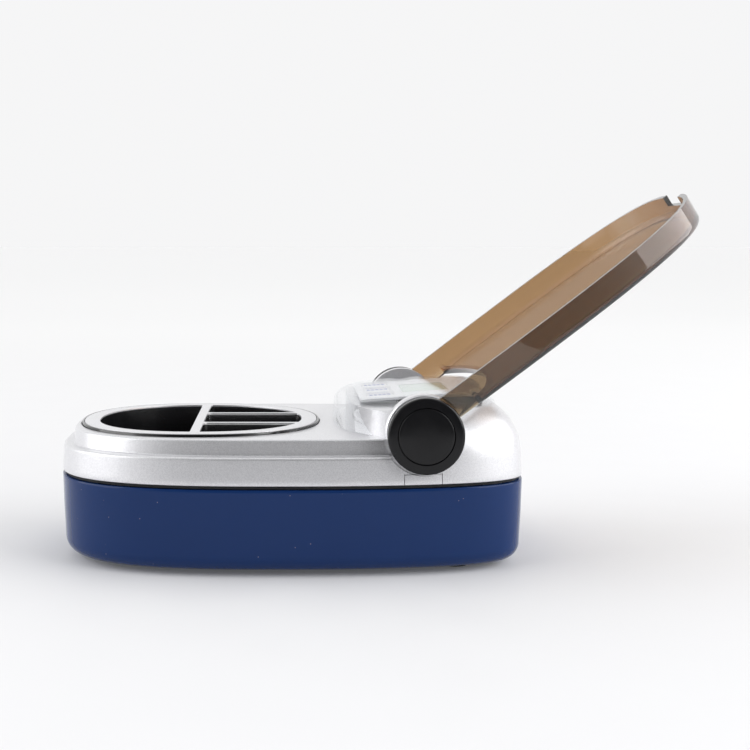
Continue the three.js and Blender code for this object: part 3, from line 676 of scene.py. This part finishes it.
def base_shell():
    outer = [(BASE_BOTTOM, 1.2 + BASE_FILLET)]
    outer += quarter((BASE_BOTTOM, 1 + BASE_FILLET), (BASE_BOTTOM + BASE_FILLET, 1), 12, False)
    outer += [(20, 0.4), (BASE_TOP - 1.2, 0.02)]
    outer += [(BASE_TOP - 0.35, 0), (BASE_TOP - 0.1, 0.12), (BASE_TOP, 0.45)]
    inner = [(BASE_FLOOR, WALL + 5), (BASE_FLOOR + 3, WALL + 1.6), (BASE_TOP + 1, WALL)]
    shell = cut(body_solid(outer), body_solid(inner))
    for x, y in POSTS:
        shell = join(shell, upright(x, y, POST_RADIUS, (BASE_FLOOR - 1, POST_JOIN)))
        bore = upright(x, y, POST_BORE, (BASE_BOTTOM - 1, POST_JOIN + 1))
        head = upright(x, y, SCREW_HEAD, (BASE_BOTTOM - 1, SCREW_SEAT))
        shell = cut(shell, bore, head)
    end = DOOR_X[1] + DOOR_TRAVEL + 0.5
    mouth = block((DOOR_X[0] - GAP, end), (-DOOR_HALF - GAP, DOOR_HALF + GAP), (BASE_BOTTOM - 1, 3.2))
    channel = block((DOOR_X[0] - GAP, end), (-DOOR_TONGUE - GAP, DOOR_TONGUE + GAP), (3, 4.2))
    window = block((DOOR_X[0] + 2, DOOR_X[1] - 2), (1 - DOOR_HALF, DOOR_HALF - 1), (4, BASE_FLOOR + 1))
    shell = cut(shell, mouth, channel, window)
    for x, y in FEET:
        shell = cut(shell, upright(x, y, FOOT_RADIUS + GAP, (BASE_BOTTOM - 1, BASE_BOTTOM + 0.8)))
    finish_piece(shell, "base_moulding", "body", "blue_plastic", ["base_shell"])


# ---- Top shell ----------------------------------------------------------------------------


def wall_inset(z):
    """The side walls lean in a little."""
    return 0.58 * (z - TOP_BOTTOM) / (LEDGE - TOP_BOTTOM)


def shoulder_inset(z):
    rise = max(0, (z - ROUNDING_START) / ROUNDING_HEIGHT)
    return wall_inset(min(z, LEDGE)) - 0.01 + ROUNDING_REACH * (1 - math.sqrt(1 - rise**2))


def head_solid(top, grow):
    """The raised head, which rounds over at its sides and rear."""
    levels = [(ROUNDING_START - 4, shoulder_inset(ROUNDING_START - 4) - grow)]
    rounds = 26
    for step in range(rounds + 1):
        share = math.sin(math.pi / 2 * step / rounds)
        z = ROUNDING_START + share * (HEAD_TOP - ROUNDING_START)
        levels.append((ROUNDING_START + share * (top - ROUNDING_START), shoulder_inset(z) - grow))
    rounded = body_solid(levels)
    low = ROUNDING_START - 3
    high = HEAD_TOP + 4
    front = superellipse(HEAD_CENTRE, HEAD_FRONT + grow, HEAD_HALF + grow, 3)
    front = stack(front, [(low, 0), (high, 0)])
    rear = block((HEAD_CENTRE, HALF_LENGTH + 5), (-HALF_WIDTH - 5, HALF_WIDTH + 5), (low, high))
    return keep_inside(rounded, join(front, rear))


def hinge_pockets(shell):
    """Cheeks that carry the lid, in round pockets that the caps sit in."""
    bevel = 0.5
    cheek = [
        (HINGE_SIDE - CHEEK_THICK, CHEEK_RADIUS),
        (HINGE_SIDE - bevel, CHEEK_RADIUS),
        (HINGE_SIDE, CHEEK_RADIUS - bevel),
    ]
    for side in (-1, 1):
        shell = join(shell, lathe(cheek, side, 128))
        pocket = across(POCKET_RADIUS, (side * HINGE_SIDE, side * OUTSIDE))
        above = block((0, 90), (-OUTSIDE, OUTSIDE), (LEDGE + 0.05, 90))
        shell = cut(shell, keep_inside(pocket, above))
        shell = cut(shell, across(POCKET_RADIUS, (side * POCKET_FLOOR, side * OUTSIDE)))
        pin_room = (side * (HINGE_SIDE - CHEEK_THICK - 1), side * (HINGE_SIDE + 1))
        shell = cut(shell, across(PIN_RADIUS + GAP, pin_room, 48))
    return shell


def insert_block(side, margin):
    x = (INSERT_X[0] + margin, INSERT_X[1] - margin)
    y = sorted((side * 40, side * OUTSIDE))
    return block(x, y, (TOP_BOTTOM - 1, INSERT_TOP - margin))


def top_blank():
    """The hollow upper shell with its posts, before openings are cut in it."""
    levels = quarter((TOP_BOTTOM, 0.45), (TOP_BOTTOM + 0.45, 0.02), 4, False)
    levels += [(z, wall_inset(z)) for z in (TOP_BOTTOM + 2, TOP_BOTTOM + 5, LEDGE - 1.2)]
    levels += quarter((LEDGE - 1.1, wall_inset(LEDGE - 1.1)), (LEDGE, 1.9), 6)
    levels += [(LEDGE + 0.02, 3.9)]
    levels += quarter((LEDGE + 0.02, 4.0), (LEDGE + 0.5, 4.45), 4, False)
    levels += [(DECK - 1.2, 4.85)]
    levels += quarter((DECK - 1.1, 4.87), (DECK, 6.1), 6)
    outer = body_solid(levels)
    inner = [(TOP_BOTTOM - 1, WALL), (LEDGE - WALL, WALL + 0.6)]
    inner += [(LEDGE - WALL + 0.01, WALL + 4.4), (DECK - WALL, WALL + 5)]
    shell = join(outer, head_solid(HEAD_TOP, 0))
    shell = cut(shell, body_solid(inner), head_solid(HEAD_TOP - WALL, -WALL - 0.2))
    for x, y in POSTS:
        shell = join(shell, upright(x, y, POST_RADIUS, (POST_JOIN + GAP, LEDGE - 1.2)))
        if x > 0:
            longer = upright(x, y, POST_RADIUS, (LEDGE - 3, HEAD_TOP))
            shell = join(shell, keep_inside(longer, head_solid(HEAD_TOP - 1, -1)))
    return hinge_pockets(shell)


def roof_window(x, half, margin):
    """Room for an opening in the head's roof, a margin larger than what it shows."""
    half += margin
    return block((x[0] - margin, x[1] + margin), (-half, half), (50, HEAD_TOP + 2))


def top_shell():
    shell = top_blank()
    for side, word in SIDES:
        shell = cut(shell, insert_block(side, 0))
        insert = keep_inside(top_blank(), insert_block(side, INSERT_GAP))
        replaced = [f"hinge_insert_{word}"]
        finish_piece(insert, f"hinge_cover_{word}", "body", "silver_plastic", replaced)
    opening = stack(tray_outline(2), [(DECK - 8, 0), (DECK + 4, 0)])
    edge = [(DECK - FLANGE_DEPTH - GAP, 0), (DECK - 0.3, 0), (DECK, -0.15), (DECK + 4, -0.15)]
    rebate = stack(tray_outline(-GAP), edge)
    screen = roof_window(SCREEN_X, SCREEN_HALF, 1)
    keys = roof_window(KEY_X, KEY_PITCH + KEY_HALF, 1.6)
    shell = cut(shell, opening, rebate, screen, keys)
    for x, y in POSTS:
        shell = cut(shell, upright(x, y, SCREW_BORE, (POST_JOIN - 1, POST_JOIN + 9)))
    finish_piece(shell, "top_moulding", "body", "silver_plastic", ["top_shell"])


# ---- Tray ---------------------------------------------------------------------------------


def clip(loop, axis, limit, sign):
    """The part of a loop on one side of a limit along an axis."""
    kept = []
    for i, point in enumerate(loop):
        following = loop[(i + 1) % len(loop)]
        inside = sign * (point[axis] - limit) >= 0
        next_inside = sign * (following[axis] - limit) >= 0
        if inside:
            kept.append(point)
        if inside != next_inside:
            t = (limit - point[axis]) / (following[axis] - point[axis])
            kept.append(tuple(a + (b - a) * t for a, b in zip(point, following)))
    return kept


def thin_out(loop, spacing):
    """Drops points that lie closer than the spacing to the one before."""
    kept = [loop[0]]
    for point in loop[1:]:
        if math.dist(point, kept[-1]) > spacing:
            kept.append(point)
    if math.dist(kept[0], kept[-1]) < spacing:
        kept.pop()
    return kept


def round_corners(loop, radius, steps=6):
    """Replaces each sharp corner of a loop by a small curve."""
    rounded = []
    for i, corner in enumerate(loop):
        here = Vector(corner)
        before = Vector(loop[i - 1])
        after = Vector(loop[(i + 1) % len(loop)])
        incoming = (here - before).normalized()
        outgoing = (after - here).normalized()
        if incoming.dot(outgoing) > 0.85:
            rounded.append(corner)
            continue
        start = here - incoming * min(radius, (here - before).length * 0.45)
        end = here + outgoing * min(radius, (after - here).length * 0.45)
        for step in range(steps + 1):
            t = step / steps
            point = start * (1 - t) ** 2 + here * 2 * t * (1 - t) + end * t**2
            rounded.append((point.x, point.y))
    return rounded


def cell_loop(x, y):
    inner = superellipse(TRAY_CENTRE, TRAY_REACH - RIM_WIDTH, TRAY_HALF - RIM_WIDTH, TRAY_POWER)
    for axis, (low, high) in enumerate((x, y)):
        inner = clip(clip(inner, axis, low, 1), axis, high, -1)
    return round_corners(thin_out(inner, 0.7), CELL_CORNER)


def tray_outline(shrink):
    return superellipse(TRAY_CENTRE, TRAY_REACH - shrink, TRAY_HALF - shrink, TRAY_POWER)


CELLS = (
    cell_loop((-100, CROSSBAR[0]), (-60, 60)),
    cell_loop((CROSSBAR[1], 60), (DIVIDER[1], 60)),
    cell_loop((CROSSBAR[1], 60), (-DIVIDER[0], DIVIDER[0])),
    cell_loop((CROSSBAR[1], 60), (-60, -DIVIDER[1])),
)


def drawn_in(loop, distance):
    """A convex loop scaled about its middle, so that its four sides move inwards."""
    low = [min(point[axis] for point in loop) for axis in (0, 1)]
    high = [max(point[axis] for point in loop) for axis in (0, 1)]
    middle = [(a + b) / 2 for a, b in zip(low, high)]
    scale = [1 - 2 * distance / (b - a) for a, b in zip(low, high)]
    return [tuple(m + (p - m) * f for p, m, f in zip(point, middle, scale)) for point in loop]


def cell_room(loop, rim, flare):
    """The hollow of one cell: walls with a draft, a rounded foot and a flared edge."""
    floor_level = TRAY_BOTTOM + 2
    levels = [(floor_level, CELL_DRAFT + 2)]
    levels += quarter((floor_level, CELL_DRAFT + 1.4), (floor_level + 1.6, CELL_DRAFT), 6, False)
    levels += [(rim - flare - 0.01, 0)]
    levels += quarter((rim - flare, 0), (rim, -flare), 4)[1:]
    levels += [(rim + 3, -flare)]
    return loft([at_height(drawn_in(loop, distance), z) for z, distance in levels])


def tray():
    """The black tub with a raised border, and the silver frame that lies inside the border."""
    tub = stack(tray_outline(5), [(TRAY_BOTTOM, 1.2), (TRAY_BOTTOM + 1.2, 0), (DECK, 0)])
    top = DECK + RIM_RISE
    seat = DECK + 0.1
    border = [(DECK - FLANGE_DEPTH, 0), (top - 0.35, 0), (top - 0.12, 0.07), (top, 0.28)]
    recess = [(seat, 0), (top - 0.15, 0), (top + 0.2, -0.2), (top + 3, -0.2)]
    tub = join(tub, stack(tray_outline(0), border))
    tub = cut(tub, stack(tray_outline(BORDER), recess))
    trim_top = top + 0.1
    edge = [(DECK + 0.35, 0), (trim_top - 0.25, 0), (trim_top - 0.07, 0.07), (trim_top, 0.25)]
    trim = stack(tray_outline(BORDER + 0.15), edge)
    for loop in CELLS:
        tub = cut(tub, cell_room(loop, seat, 0.02))
        trim = cut(trim, cell_room(loop, trim_top, 0.25))
    finish_piece(tub, "tray_moulding", "body", "black_gloss", ["tray_tub"], surface="tray_gloss")
    finish_piece(trim, "tray_frame", "body", "silver_plastic", ["tray_trim"], 24)


# ---- Console ------------------------------------------------------------------------------


def key_block(index, margin, z):
    """A key's outline, larger all round by a margin, between two heights."""
    y = (index - 1) * KEY_PITCH
    half = KEY_HALF + margin
    return block((KEY_X[0] - margin, KEY_X[1] + margin), (y - half, y + half), z)


def key_column(index, margin):
    return key_block(index, margin, (HEAD_TOP - 5, HEAD_TOP + 10))


def console_panel():
    panel = sloped_block(PANEL_X, PANEL_HALF, 40, 0)
    panel = cut(panel, sloped_block((10, 90), 60, 30, -PANEL_THICK))
    for key in range(3):
        panel = cut(panel, key_column(key, GAP))
    panel = cut(panel, block(SCREEN_X, (-SCREEN_HALF, SCREEN_HALF), (50, 80)))
    finish_piece(panel, "console_face", "body", "panel_silver", ["console_panel"])


def console_keys():
    """Keys with a sloping top, a flange that holds them in, and a stem."""
    flange_top = HEAD_TOP + 0.7
    for index in range(3):
        y = (index - 1) * KEY_PITCH
        head = sloped_block((20, 60), 50, flange_top - 0.5, KEY_TOP)
        head = keep_inside(head, key_column(index, 0))
        flange = key_block(index, 1, (HEAD_TOP - 0.8, flange_top))
        stem_x = (KEY_X[0] + 3, KEY_X[1] - 3)
        stem = block(stem_x, (y - 1.5, y + 1.5), (HEAD_TOP - 3.8, HEAD_TOP - 0.5))
        key = join(head, flange, stem)
        bevel = key.modifiers.new("edges", "BEVEL")
        bevel.width = 0.25
        bevel.segments = 3
        bevel.limit_method = "ANGLE"
        name = f"key_{index + 1}"
        finish_piece(key, f"{name}_cap", name, "key_plastic", [f"console_{name}"])
        key_marks(index, name)


def key_marks(index, body):
    """A row of short raised dashes along the top of a key."""
    margin = 1.1
    pitch = 1.75
    length = 1.2
    half_width = 1.6
    y = (index - 1) * KEY_PITCH
    dashes = []
    for dash in range(5):
        x = KEY_X[0] + margin + dash * pitch
        top = console_height(x, KEY_TOP)
        dashes.append(block((x, x + length), (y - half_width, y + half_width), (top - 0.3, top + 0.12)))
    finish_piece(join(*dashes), f"{body}_marks", body, "key_plastic", [], surface="print_ink")


def console_lens():
    """Thick clear cover with a steep front and sloping sides, rounded over above a shoulder."""
    shoulder = HEAD_TOP - 3
    lean = 0.5
    levels = [(DECK + GAP, 0.3), (DECK + GAP + 0.3, 0), (shoulder, lean)]
    levels += quarter((shoulder, lean), (HEAD_TOP + 1.9, 4.8), 10)[1:]
    levels += [(HEAD_TOP + 6, 7)]
    rings = []
    for z, front in levels:
        rise = (z - DECK) / (shoulder - DECK)
        side = LENS_SLOPE * rise if rise < 1 else LENS_SLOPE + 1.95 * (front - lean)
        outline = superellipse(LENS_CENTRE, LENS_REACH - front, LENS_HALF - side, 3)
        rings.append(at_height(outline, z))
    lens = loft(rings)
    lens = keep_inside(lens, sloped_block((0, 90), 60, 40, LENS_THICK + GAP))
    lens = cut(lens, head_solid(HEAD_TOP + GAP, GAP))
    room = (PANEL_X[0] - GAP, PANEL_X[1] + GAP)
    lens = cut(lens, sloped_block(room, PANEL_HALF + GAP, HEAD_TOP - 4, GAP))
    for key in range(3):
        lens = cut(lens, key_column(key, GAP))
    finish_piece(lens, "console_cover", "body", "clear_plastic", ["console_lens"], 30)


# ---- Hinge --------------------------------------------------------------------------------


def cap_ring(side):
    """A round cap with a rounded rim, a boss behind it and a recess for the disc."""
    low = CAP_INSIDE
    high = CAP_OUTSIDE
    profile = [
        (low, AXIS),
        (low, CAP_RADIUS - 0.3),
        (low + 0.3, CAP_RADIUS),
        (high - 1.0, CAP_RADIUS),
        (high - 0.55, CAP_RADIUS - 0.12),
        (high - 0.25, CAP_RADIUS - 0.38),
        (high - 0.05, CAP_RADIUS - 0.85),
        (high, CAP_RADIUS - 1.4),
        (high, AXIS),
    ]
    recess = [
        (high - 1.8, AXIS),
        (high - 1.8, DISC_RADIUS + 0.2),
        (high - 0.2, DISC_RADIUS + 0.2),
        (high - 0.05, DISC_RADIUS + 0.28),
        (high + 0.3, DISC_RADIUS + 0.6),
        (high + 0.3, AXIS),
    ]
    boss = across(CAP_BOSS_RADIUS, (side * (HINGE_SIDE + 3), side * (low + 0.8)), 64)
    cap = join(lathe(profile, side, 160), boss)
    cap = cut(cap, lathe(recess, side, 160))
    return cut(cap, across(PIN_RADIUS + GAP, (side * 40, side * (low - 0.2)), 48))


def cap_disc(side):
    """The slightly crowned disc in the middle of a cap."""
    high = CAP_OUTSIDE
    profile = [
        (high - 1.5, AXIS),
        (high - 1.5, DISC_RADIUS),
        (high - 0.35, DISC_RADIUS),
        (high - 0.15, DISC_RADIUS - 0.15),
        (high - 0.05, DISC_RADIUS - 0.4),
        (high, DISC_RADIUS - 1.2),
        (high + 0.04, 4),
        (high + 0.05, AXIS),
    ]
    return lathe(profile, side, 160)


def hinge_caps():
    for side, word in SIDES:
        finish_piece(cap_ring(side), f"cap_ring_{word}", "lid", "black_gloss", [f"hinge_cap_{word}"])
        finish_piece(cap_disc(side), f"cap_face_{word}", "lid", "black_gloss", [f"cap_disc_{word}"])


# ---- Lid ----------------------------------------------------------------------------------


def lid_body(distance, bottom, roof):
    """Walls that lean in a little, round over, and rise as a low crown."""
    shoulder = (roof - 2.8, distance + 0.7)
    levels = [(bottom, distance), shoulder]
    levels += quarter(shoulder, (roof, distance + 3), 8)[1:]
    rings = [at_height(inset(BODY_LOOP, d), z) for z, d in levels]
    edge = inset(BODY_LOOP, distance + 3)
    rounds = 22
    for step in range(1, rounds):
        shrink = 1 - step / rounds
        ring = [(LID_PLATE_END + (x - LID_PLATE_END) * shrink, y * shrink) for x, y in edge]
        rings.append(at_height(ring, roof + LID_CROWN * (1 - shrink**2)))
    return loft(rings)


def behind_plate(before=0, bottom=30):
    """Everything on the hinge side of the plate's curved end, or of a line just before it."""
    half_width = 58
    beyond = 120
    steps = 48
    spread = math.asin(half_width / LID_END_RADIUS)
    centre = LID_PLATE_END - before + LID_END_RADIUS
    loop = []
    for step in range(steps + 1):
        angle = math.pi - spread + 2 * spread * step / steps
        x = centre + LID_END_RADIUS * math.cos(angle)
        loop.append((x, LID_END_RADIUS * math.sin(angle)))
    loop += [(beyond, loop[-1][1]), (beyond, loop[0][1])]
    return loft([at_height(loop, bottom), at_height(loop, 70)])


def plate_lip():
    """The thicker edge along the plate's curved end."""
    distance = LID_INNER - 0.1
    lip = lid_body(distance, LID_BOTTOM - 2, LID_TOP - LID_PLATE + 0.1)
    lip = cut(lip, lid_body(distance, LID_BOTTOM - 3, LID_TOP - LID_PLATE - LIP_DEPTH))
    return cut(keep_inside(lip, behind_plate(LIP_WIDTH, LID_TOP - 5)), behind_plate())


def lid_shell():
    inside = lid_body(LID_INNER, LID_BOTTOM - 2, LID_TOP - LID_PLATE)
    return cut(lid_body(LID_INSET, LID_BOTTOM, LID_TOP), inside)


def lid_arms():
    """The walls alone, from the plate's end to the hinge line."""
    arms = keep_inside(lid_shell(), block((-100, HINGE_X), (-60, 60), (30, LID_TOP + 1)))
    room = body_solid([(30, LID_INNER), (LID_TOP - 3, LID_INNER + 0.6), (70, LID_INNER + 1.6)])
    return cut(arms, keep_inside(room, behind_plate()))


def lid():
    """Built shut, with a hub on each arm, and then turned open."""
    piece = join(cut(lid_shell(), behind_plate()), lid_arms(), plate_lip())
    piece = cut(piece, across(CHEEK_RADIUS + 1.2, (-HINGE_SIDE - GAP, HINGE_SIDE + GAP)))
    for side in (-1, 1):
        hub = (side * (HINGE_SIDE + GAP), side * (HINGE_SIDE + 2.4))
        piece = join(piece, across(HUB_RADIUS, hub, 96))
        piece = cut(piece, across(PIN_RADIUS + GAP, (side * 40, side * 65), 48))
    notch_z = (LID_BOTTOM - 1, LID_BOTTOM + NOTCH_HEIGHT)
    piece = cut(piece, block((-100, -60), (-NOTCH_HALF, NOTCH_HALF), notch_z))
    remove_slivers(piece.data)
    open_up(piece)
    finish_piece(piece, "lid_cover", "lid", "smoke_plastic", ["lid"], 28)


# ---- Studio -------------------------------------------------------------------------------


def floor():
    """A pale floor that reaches far past the view. It glows more strongly with distance, a painted glow,
    and its colour is darker towards the front near the object, a painted shade.
    """
    size = 12
    front = -0.42
    corners = [(-size, front, 0), (size, front, 0), (size, size, 0), (-size, size, 0)]
    sheet = new_object("floor", corners, [(0, 1, 2, 3)])
    s = Surface("floor")
    # painted light: the floor glows, more strongly with distance
    s.set(Emission_Color=rgb(1, 1, 1))
    depth = s.node("ShaderNodeSeparateXYZ", {0: s.place}).outputs["Y"]
    s.drive("Emission Strength", s.spread(depth, 0.07, 0.14, 0.3, 2))
    # painted shade: the floor's colour darkens towards the front, near the object
    far = s.spread(depth, 0, 1, 0.1, 1.2)
    s.colour(s.mix(far, rgb(0.75, 0.75, 0.76), rgb(0.93, 0.93, 0.93)))
    s.roughness(s.spread(s.noise(30), 0.6, 0.75))
    s.bump((s.noise(600), 0.01))
    sheet.data.materials.append(s.material)


def softbox(name, place, target, size, power):
    """A rectangular light, in metres and watts, that faces a target."""
    light = bpy.data.lights.new(name, "AREA")
    light.shape = "RECTANGLE"
    light.size, light.size_y = size
    light.energy = power
    lamp = bpy.data.objects.new(name, light)
    lamp.location = place
    lamp.rotation_euler = (Vector(target) - Vector(place)).to_track_quat("-Z", "Y").to_euler()
    bpy.context.scene.collection.objects.link(lamp)


def surroundings():
    """A white studio, nearly black around the direction that the camera looks from."""
    world = bpy.data.worlds.new("studio")
    bpy.context.scene.world = world
    world.use_nodes = True
    tree = world.node_tree
    back = tree.nodes["Background"]
    place = tree.nodes.new("ShaderNodeTexCoord")
    level = tree.nodes.new("ShaderNodeVectorMath")
    level.operation = "MULTIPLY"
    level.inputs[1].default_value = (1, 1, 0)
    tree.links.new(place.outputs["Generated"], level.inputs[0])
    compass = tree.nodes.new("ShaderNodeVectorMath")
    compass.operation = "NORMALIZE"
    tree.links.new(level.outputs[0], compass.inputs[0])
    split = tree.nodes.new("ShaderNodeSeparateXYZ")
    tree.links.new(compass.outputs[0], split.inputs[0])
    turn = tree.nodes.new("ShaderNodeMapRange")
    turn.interpolation_type = "SMOOTHSTEP"
    tree.links.new(split.outputs["Y"], turn.inputs["Value"])
    turn.inputs["From Min"].default_value = -0.975  # 13 degrees off that direction
    turn.inputs["From Max"].default_value = -0.66  # 49 degrees off it
    turn.inputs["To Min"].default_value = 0.03
    turn.inputs["To Max"].default_value = 0.99
    seen = tree.nodes.new("ShaderNodeLightPath")
    pick = tree.nodes.new("ShaderNodeMix")
    tree.links.new(seen.outputs["Is Camera Ray"], pick.inputs[0])
    tree.links.new(turn.outputs["Result"], pick.inputs[2])
    pick.inputs[3].default_value = 0.92
    back.inputs["Color"].default_value = (1.0, 1.0, 1.005, 1)
    tree.links.new(pick.outputs[0], back.inputs["Strength"])


def camera():
    """A long lens close to table height, level across, with the object left of its axis."""
    eye = bpy.data.cameras.new("camera")
    eye.sensor_width = 36
    eye.lens = 64.94
    eye.shift_x = 0.1213
    eye.shift_y = -0.1
    seat = bpy.data.objects.new("camera", eye)
    seat.location = (MM * (MIDDLE - 2.1), -0.5467, 0.12605)
    seat.rotation_euler = (math.pi / 2 - 0.049, 0, 0)
    bpy.context.scene.collection.objects.link(seat)
    bpy.context.scene.camera = seat


def studio():
    floor()
    surroundings()
    softbox("right", (1.06, -0.28, 0.5), (0.08, 0, 0.08), (1.3, 0.75), 11)
    softbox("left", (-1.0, -0.2, 0.4), (-0.1, 0, 0.05), (1.0, 0.8), 5)
    camera()
    bpy.context.scene.view_settings.view_transform = "Standard"


surface_for_cad_nodes()
base_shell()
top_shell()
tray()
console_panel()
console_keys()
console_lens()
hinge_caps()
lid()
studio()
